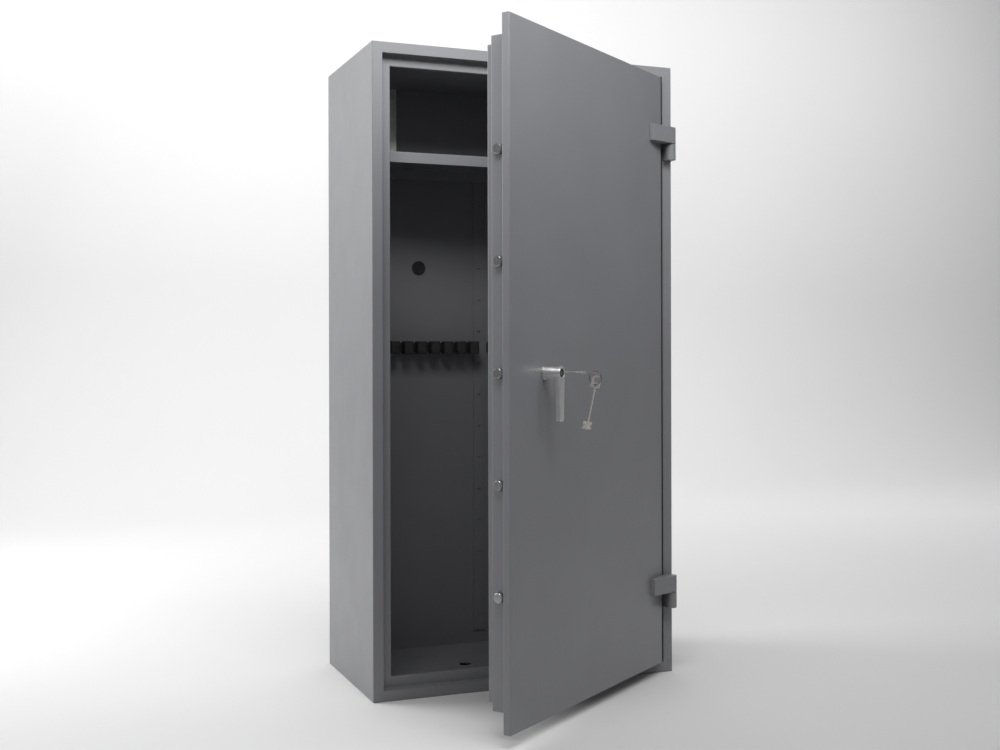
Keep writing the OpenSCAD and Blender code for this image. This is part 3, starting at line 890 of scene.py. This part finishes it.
@dataclass
class Interior:
    """The shelf, the barrel rack and the plugs inside the cabinet."""

    shop: Workshop
    shelf_fold: float = 1.8 * MM
    pad_corner: float = 5.0 * MM
    pad_edge: float = 2.0 * MM

    def build(self) -> None:
        """Makes the shelf, its straps, the rack and the plugs."""
        self.shelf()
        # The straps take the lighter zinc finish as a painted highlight. It makes them read bright against the
        # dark back wall.
        self.shop.softened_node("shelf_straps", Slot.ZINC_AND_HIGHLIGHT, "cabinet", 0.8 * MM)
        self.rack()
        self.shop.softened_node("wall_anchor_plugs", Slot.PLASTIC, "cabinet", 0.5 * MM)

    def shelf(self) -> None:
        """A pressed tray with its rim turned down all round."""
        low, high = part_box("shelf")
        rim, sheet = high.z - low.z, 2.0 * MM
        around = Surround(low.x, high.x, low.y, high.y, 0.0, 2.5 * MM)
        section = filleted(
            [(0.1, 0), (0, 0), (0, rim), (sheet, rim), (sheet, sheet), (0.1, sheet)],
            [0, self.shelf_fold, 0, 0, 0, 0])
        mesh = around.folded(section, closed=False)
        lay_down = Matrix(((1, 0, 0, 0), (0, 0, 1, 0), (0, -1, 0, high.z), (0, 0, 0, 1)))
        piece = self.shop.object("shelf_tray", mesh, lay_down)
        self.shop.issue(piece, Slot.PAINT, "cabinet", ["shelf"])

    def rack(self) -> None:
        """Rails, and the pads between which the barrels stand."""
        for side in ("left", "right"):
            self.shop.softened_node(f"rack_rail_{side}", Slot.PLASTIC, "cabinet", 0.5 * MM)
        low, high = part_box("rack_pads")
        slots = [o["box_m"] for o in frame["record"]["physics"]["openings"]
                 if o["name"].startswith("rack_slot")]
        starts = sorted(box[0][0] for box in slots)
        pitch = starts[1] - starts[0]
        gap = slots[0][1][0] - slots[0][0][0] + 1.0 * MM
        width = pitch - gap
        left_end, right_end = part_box("rack_rail_left")[1].x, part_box("rack_rail_right")[0].x
        left_count = round((left_end - low.x) / pitch)
        right_count = round((high.x - right_end) / pitch + 0.49)
        self.pad_row("rack_pads_left", left_end - left_count * pitch + gap, width, pitch, left_count)
        self.pad_row("rack_pads_right", right_end, width, pitch, right_count)

    def pad_row(self, name: str, start: float, width: float, pitch: float, count: int) -> None:
        """A row of soft pads from start along X.

        Args:
            name: The row's name.
            start: The left side of the first pad.
            width: A pad's width.
            pitch: The step from pad to pad.
            count: How many pads there are.
        """
        low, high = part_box("rack_pads")
        corner = self.pad_corner
        outline = filleted(
            [(start, high.y), (start, low.y), (start + width, low.y), (start + width, high.y)],
            [0, corner, corner, 0], 6)
        mesh = soften(extruded(outline, low.z, high.z), self.pad_edge, 3, 60.0)
        part = self.shop.object(name, mesh)
        row = Repeater(self.shop.materials[Slot.RUBBER]).lay(self.shop, part, count, Vector((pitch, 0, 0)))
        self.shop.issue(row, Slot.RUBBER, "cabinet", ["rack_pads"])


# ---------------------------------------------------------------- door


@dataclass
class Door:
    """The door's front pan, its stepped bolt box and inner cover."""

    shop: Workshop
    space: DoorSpace
    pan_fold: float = 1.8 * MM
    box_fold: float = 2.2 * MM
    corner: float = 1.6 * MM
    bolt_count: int = 5
    box_lip: float = 34.0 * MM
    bush_bore: float = 9.0 * MM
    key_bore: float = 2.4 * MM
    key_slot: Point2 = (10.7 * MM, 1.6 * MM)
    overcut: float = 5.0 * MM

    def build(self) -> None:
        """Makes the pan, bolt box, cover and trim."""
        self.pan()
        self.bolt_box()
        self.inner_cover()
        self.trim()

    def surround(self, node: str) -> Surround:
        """The rectangle of a door node's outline, starting at its front.

        Args:
            node: The node's name.

        Returns:
            The rectangle.
        """
        low, high = self.space.box(node)
        return Surround(low.x, high.x, low.z, high.z, low.y, self.corner)

    def pan(self) -> None:
        """The front plate with its folded edge, bored for the spindle and the key."""
        low, high = self.space.box("door_skin")
        rim, plate, edge = high.y - low.y, 5.0 * MM, 4.0 * MM
        around = self.surround("door_skin")
        section = filleted(
            [(0.05, 0), (0, 0), (0, rim), (edge, rim), (edge, plate), (0.05, plate)],
            [0, self.pan_fold, self.pan_fold, 0, 0, 0])
        piece = self.shop.object("door_pan", around.folded(section, closed=False))
        bush, key = self.space.centre("handle_bush"), self.space.centre("key_escutcheon")
        behind = low.y + 2 * self.overcut
        reach = 4 * self.overcut
        across, up = self.key_slot
        self.shop.bored(piece, [
            rod(self.bush_bore, Vector((bush.x, behind, bush.z)), reach),
            rod(self.key_bore, Vector((key.x, behind, key.z)), reach),
            block(Vector((key.x - across, low.y - self.overcut, key.z - up)),
                  Vector((key.x + across, behind, key.z + up))),
        ])
        piece.data.transform(self.space.to_rest)
        self.shop.issue(piece, Slot.PAINT, "door", ["door_skin"])

    def bolt_box(self) -> None:
        """The box that holds the boltwork, with its back flange and the bolt holes."""
        low, high = self.space.box("bolt_box")
        depth, wall, lip = high.y - low.y, 3.0 * MM, self.box_lip
        around = self.surround("bolt_box")
        section = filleted(
            [(0, 0), (0, depth), (lip, depth), (lip, depth - wall), (wall, depth - wall), (wall, 0)],
            [0, self.box_fold, 0, 0, 0, 0])
        piece = self.shop.object("bolt_box_shell", around.folded(section))
        bolts_low, bolts_high = self.space.box("locking_bolts")
        self.bolt_radius = (bolts_high.y - bolts_low.y) / 2
        self.bolt_depth = (bolts_low.y + bolts_high.y) / 2
        self.bolt_first = bolts_low.z + self.bolt_radius
        self.bolt_pitch = (bolts_high.z - bolts_low.z - 2 * self.bolt_radius) / (self.bolt_count - 1)
        cutters = []
        for number in range(self.bolt_count):
            cutter = turned([(0, 0), (1, 0), (1, 1), (0, 1)], 48)
            radius = self.bolt_radius + 0.1 * MM
            place = Vector((low.x - 0.01, self.bolt_depth, self.bolt_first + number * self.bolt_pitch))
            cutter.transform(Matrix.Translation(place) @ Matrix.Rotation(math.pi / 2, 4, "Y")
                             @ Matrix.Diagonal((radius, radius, 0.02, 1)))
            cutters.append(cutter)
        self.shop.bored(piece, cutters)
        piece.data.transform(self.space.to_rest)
        self.shop.issue(piece, Slot.PAINT, "door", ["bolt_box"])

    def inner_cover(self) -> None:
        """The shallow tray that closes the back of the bolt box."""
        low, high = self.space.box("inner_cover")
        depth, sheet = high.y - low.y, 2.0 * MM
        around = self.surround("inner_cover")
        section = filleted(
            [(0.1, depth), (0, depth), (0, 0), (sheet, 0), (sheet, depth - sheet), (0.1, depth - sheet)],
            [0, self.box_fold, 0, 0, 0, 0])
        piece = self.shop.object("inner_door_cover", around.folded(section, closed=False))
        piece.data.transform(self.space.to_rest)
        self.shop.issue(piece, Slot.PAINT, "door", ["inner_cover"])

    def trim(self) -> None:
        """Screws, the dog bar, the backing frame and the escutcheon."""
        self.shop.softened_node("door_backing_frame", Slot.PAINT, "door", 0.4 * MM)
        self.shop.softened_node("dog_bar", Slot.STEEL, "door", 1.5 * MM, 3)
        self.shop.softened_node("key_escutcheon", Slot.SATIN, "door", 0.35 * MM)
        self.screws()

    def screws(self) -> None:
        """Pan-head screws with crossed recesses down both sides of the inner cover."""
        low, high = self.space.box("cover_screws")
        head = 4.5 * MM
        rows, height = 5, 2.0 * MM
        pitch = (high.z - low.z - 2 * head) / (rows - 1)
        face = self.space.box("inner_cover")[1].y
        for side, x in (("left", low.x + head), ("right", high.x - head)):
            mesh = turned([(0, 0), (head, 0), (head, 0.7 * height), (0.86 * head, 0.9 * height),
                           (0.6 * head, height), (0, height)], 28)
            part = self.shop.object(f"cover_screws_{side}", mesh,
                                    Matrix.Translation((x, face, low.z + head))
                                    @ Matrix.Rotation(-math.pi / 2, 4, "X"))
            arm, width = 2.6 * MM, 0.55 * MM
            centre = Vector((x, face, low.z + head))
            cuts = [block(centre + Vector((-across, 0.5 * height, -up)),
                          centre + Vector((across, 2 * height, up)))
                    for across, up in ((arm, width), (width, arm))]
            self.shop.bored(part, cuts)
            row = Repeater(self.shop.materials[Slot.ZINC_AND_HIGHLIGHT]).lay(self.shop, part, rows, Vector((0, 0, pitch)))
            row.data.transform(self.space.to_rest)
            self.shop.issue(row, Slot.ZINC_AND_HIGHLIGHT, "door", ["cover_screws"])


@dataclass
class Bolts:
    """The five round locking bolts that stand out of the door's free edge."""

    shop: Workshop
    space: DoorSpace
    door: Door
    chamfer: float = 1.5 * MM

    def build(self) -> None:
        """Turns one bolt and repeats it up the door."""
        low, high = self.space.box("locking_bolts")
        radius, length = self.door.bolt_radius, high.x - low.x
        tenon, shoulder = 4.0 * MM, self.space.box("bolt_bar")[0].x - low.x
        profile = [(0, 0), (radius - 2.2 * self.chamfer, 0), (radius - self.chamfer, 0.12 * MM),
                   (radius - 0.25 * self.chamfer, 0.75 * self.chamfer), (radius, 1.25 * self.chamfer),
                   (radius, shoulder), (tenon, shoulder), (tenon, length), (0, length)]
        place = (Matrix.Translation((low.x, self.door.bolt_depth, self.door.bolt_first))
                 @ Matrix.Rotation(math.pi / 2, 4, "Y"))
        part = self.shop.object("locking_bolt_row", turned(profile, 56), place)
        row = Repeater(self.shop.materials[Slot.STEEL]).lay(
            self.shop, part, self.door.bolt_count, Vector((0, 0, self.door.bolt_pitch)))
        row.data.transform(self.space.to_rest)
        self.shop.issue(row, Slot.STEEL, "boltwork", ["locking_bolts"])


@dataclass
class Handle:
    """The lever handle: a round hub with a tapering lever hanging from its outer end."""

    shop: Workshop
    space: DoorSpace
    hub_radius: float = 12.25 * MM
    root_width: float = 22.0 * MM
    tip_width: float = 16.0 * MM
    thickness: float = 11.0 * MM
    edge: float = 1.3 * MM
    recess: float = 9.3 * MM

    def build(self) -> None:
        """Makes the lever, the insert in its end and the screw."""
        low, high = self.space.box("handle_lever")
        axis = self.space.centre("handle_spindle")
        self.axis = Vector((axis.x, low.y, axis.z))
        self.length = high.y - low.y
        self.drop = axis.z - low.z
        self.lever()
        self.end()

    def lever(self) -> None:
        """Hub and lever joined, with a recess in the outer end."""
        r, e = self.hub_radius, self.edge
        hub = turned([(0, 0), (r - 0.6 * MM, 0), (r, 0.6 * MM), (r, self.length - e),
                      (r - 0.3 * e, self.length - 0.3 * e), (r - e, self.length), (0, self.length)], 64)
        hub.transform(along_depth(self.axis + Vector((0, self.length, 0))))
        piece = self.shop.object("lever_handle", hub)
        half_root, half_tip, round_tip = self.root_width / 2, self.tip_width / 2, 4.0 * MM
        outline = filleted(
            [(-half_root, 0), (-half_tip, -self.drop), (half_tip, -self.drop), (half_root, 0)],
            [0, round_tip, round_tip, 0], 6)
        arm = extruded(outline, 0, self.thickness)
        soften(arm, self.edge, 3, 50.0)
        arm.transform(along_depth(self.axis + Vector((0, self.thickness, 0))))
        tool = self.shop.object("lever_arm", arm)
        joint = piece.modifiers.new("join", "BOOLEAN")
        joint.operation = "UNION"
        joint.solver = "EXACT"
        joint.object = tool
        self.shop.settle(piece)
        bpy.data.objects.remove(tool)
        recess = self.recess
        socket = turned([(0, 0), (recess, 0), (recess, 3.6 * MM), (recess + 0.5 * MM, 4.2 * MM),
                         (recess + 0.5 * MM, 8.0 * MM), (0, 8.0 * MM)], 56)
        socket.transform(along_depth(self.axis + Vector((0, 4.0 * MM, 0))))
        self.shop.bored(piece, [socket])
        piece.data.transform(self.space.to_rest)
        self.shop.issue(piece, Slot.SATIN, "handle", ["handle_lever"])

    def end(self) -> None:
        """The dark insert and its socket-headed screw."""
        low, _ = self.space.box("hub_insert")
        r = self.recess
        mesh = turned([(0, 0), (r, 0), (r, 2.0 * MM), (r - 0.5 * MM, 2.5 * MM), (5.2 * MM, 2.5 * MM),
                       (4.4 * MM, 1.2 * MM), (0, 1.2 * MM)], 48)
        place = Vector((self.axis.x, low.y + 2.5 * MM, self.axis.z))
        insert = self.shop.object("hub_end_insert", mesh, self.space.to_rest @ along_depth(place))
        self.shop.issue(insert, Slot.PLASTIC, "handle", ["hub_insert"])
        self.shop.softened_node("hub_screw", Slot.STEEL, "handle", 0.2 * MM)


@dataclass
class Keys:
    """The key in the lock, the split ring and the spare key that hangs from it."""

    shop: Workshop
    space: DoorSpace
    wire: float = 0.56 * MM
    turns: float = 2.0
    steps: int = 160

    def build(self) -> None:
        """Makes both keys and the ring."""
        self.shop.softened_node("key", Slot.NICKEL, "key", 0.22 * MM)
        self.shop.softened_node("spare_key", Slot.NICKEL, "spare_key", 0.22 * MM)
        self.ring()

    def ring(self) -> None:
        """Two turns of wire, side by side."""
        low, high = self.space.box("key_ring")
        centre, radius = (low + high) / 2, (high.z - low.z) / 2 - 1.0 * MM
        offset = 0.42 * MM
        path = []
        for step in range(self.steps + 1):
            share = step / self.steps
            angle = math.tau * self.turns * share + 2.0
            blend = min(1.0, max(0.0, (share - 0.46) / 0.08))
            across = -offset + 2 * offset * blend
            path.append(centre + Vector((across, radius * math.cos(angle), radius * math.sin(angle))))
        piece = self.shop.object("split_ring", tube(path, self.wire), self.space.to_rest)
        self.shop.issue(piece, Slot.STEEL, "key_ring", ["key_ring"])
        piece.data.materials[0] = RING_WIRE.build()


# ---------------------------------------------------------------- studio


@dataclass
class Studio:
    """The floor, the lights and the camera."""

    camera_place: tuple[float, float, float] = (-1.1802, -2.9662, 0.7884)
    yaw: float = -21.79
    roll: float = -0.137
    lens: float = 45.59
    shift_down: float = -0.0205

    def build(self) -> None:
        """Sets up everything round the object."""
        self.floor()
        self.world()
        self.area("top_front", (-0.35, -1.15, 2.05), (0.0, -0.1, 1.2), (1.5, 0.5), 22.0)
        self.area("left_bank", (-2.6, 1.4, 1.9), (-0.4, 0.0, 1.0), (1.8, 1.8), 68.0)
        self.area("top_right", (1.35, -1.35, 2.2), (0.25, -0.3, 1.25), (0.9, 0.6), 10.0)
        self.area("backdrop_wash", (0.8, 1.9, 3.6), (1.0, 4.2, 1.2), (9.0, 0.8), 165.0)
        self.camera()

    def floor(self) -> None:
        """A pale floor with a swept backdrop."""
        reach, back, rise, radius = 9.0, 3.0, 5.0, 1.2
        arc = [(back + radius * math.sin(a), radius - radius * math.cos(a))
               for a in (math.pi / 2 * k / 12 for k in range(13))]
        profile = [(-reach, 0.0), *arc, (back + radius, rise)]
        mesh = bmesh.new()
        rows = [[mesh.verts.new((x, y, z)) for x in (-reach, reach)] for y, z in profile]
        for first, second in zip(rows, rows[1:]):
            mesh.faces.new((first[0], first[1], second[1], second[0]))
        data = bpy.data.meshes.new("studio_floor")
        mesh.to_mesh(data)
        mesh.free()
        for polygon in data.polygons:
            polygon.use_smooth = True
        floor = bpy.data.objects.new("studio_floor", data)
        bpy.context.scene.collection.objects.link(floor)
        graph = Graph("pale_backdrop")
        graph.tint(graph.noise(0.7, 2.0), (0.78, 0.78, 0.78), (0.80, 0.80, 0.80))
        graph.shader.inputs["Roughness"].default_value = 0.8
        data.materials.append(graph.material)

    def world(self) -> None:
        """An even pale surround."""
        world = bpy.data.worlds.new("studio")
        world.use_nodes = True
        background = world.node_tree.nodes["Background"]
        background.inputs["Color"].default_value = (1.0, 1.0, 1.0, 1.0)
        background.inputs["Strength"].default_value = 0.15
        bpy.context.scene.world = world

    def area(
        self,
        name: str,
        place: tuple[float, float, float],
        target: tuple[float, float, float],
        size: Point2,
        power: float,
    ) -> None:
        """A soft rectangular light aimed at a point.

        Args:
            name: The light's name.
            place: Where it stands.
            target: The point it faces.
            size: Its width and height.
            power: Its power in watts.
        """
        light = bpy.data.lights.new(name, "AREA")
        light.shape = "RECTANGLE"
        light.size, light.size_y = size
        light.energy = power
        lamp = bpy.data.objects.new(name, light)
        lamp.location = place
        lamp.rotation_euler = (Vector(target) - Vector(place)).to_track_quat("-Z", "Y").to_euler()
        bpy.context.scene.collection.objects.link(lamp)

    def camera(self) -> None:
        """A level camera a little to the left of the cabinet."""
        data = bpy.data.cameras.new("camera")
        data.sensor_width = 36.0
        data.lens = self.lens
        data.shift_y = self.shift_down
        data.clip_end = 50.0
        camera = bpy.data.objects.new("camera", data)
        turn = Matrix.Rotation(math.radians(self.yaw), 4, "Z") @ Matrix.Rotation(math.pi / 2, 4, "X")
        roll = Matrix.Rotation(math.radians(self.roll), 4, "Z")
        camera.matrix_world = Matrix.Translation(self.camera_place) @ turn @ roll
        bpy.context.scene.collection.objects.link(camera)
        bpy.context.scene.camera = camera
        bpy.context.scene.view_settings.view_transform = "Standard"


def main() -> None:
    """Builds the safe and its studio."""
    logging.basicConfig(level=logging.INFO, format="%(name)s %(message)s")
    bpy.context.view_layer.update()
    shop = Workshop()
    space = DoorSpace()
    Studio().build()
    CabinetShell(shop).build()
    Interior(shop).build()
    Hinges(shop).build()
    door = Door(shop, space)
    door.build()
    Bolts(shop, space, door).build()
    Handle(shop, space).build()
    Keys(shop, space).build()


if __name__ == "__main__":
    main()
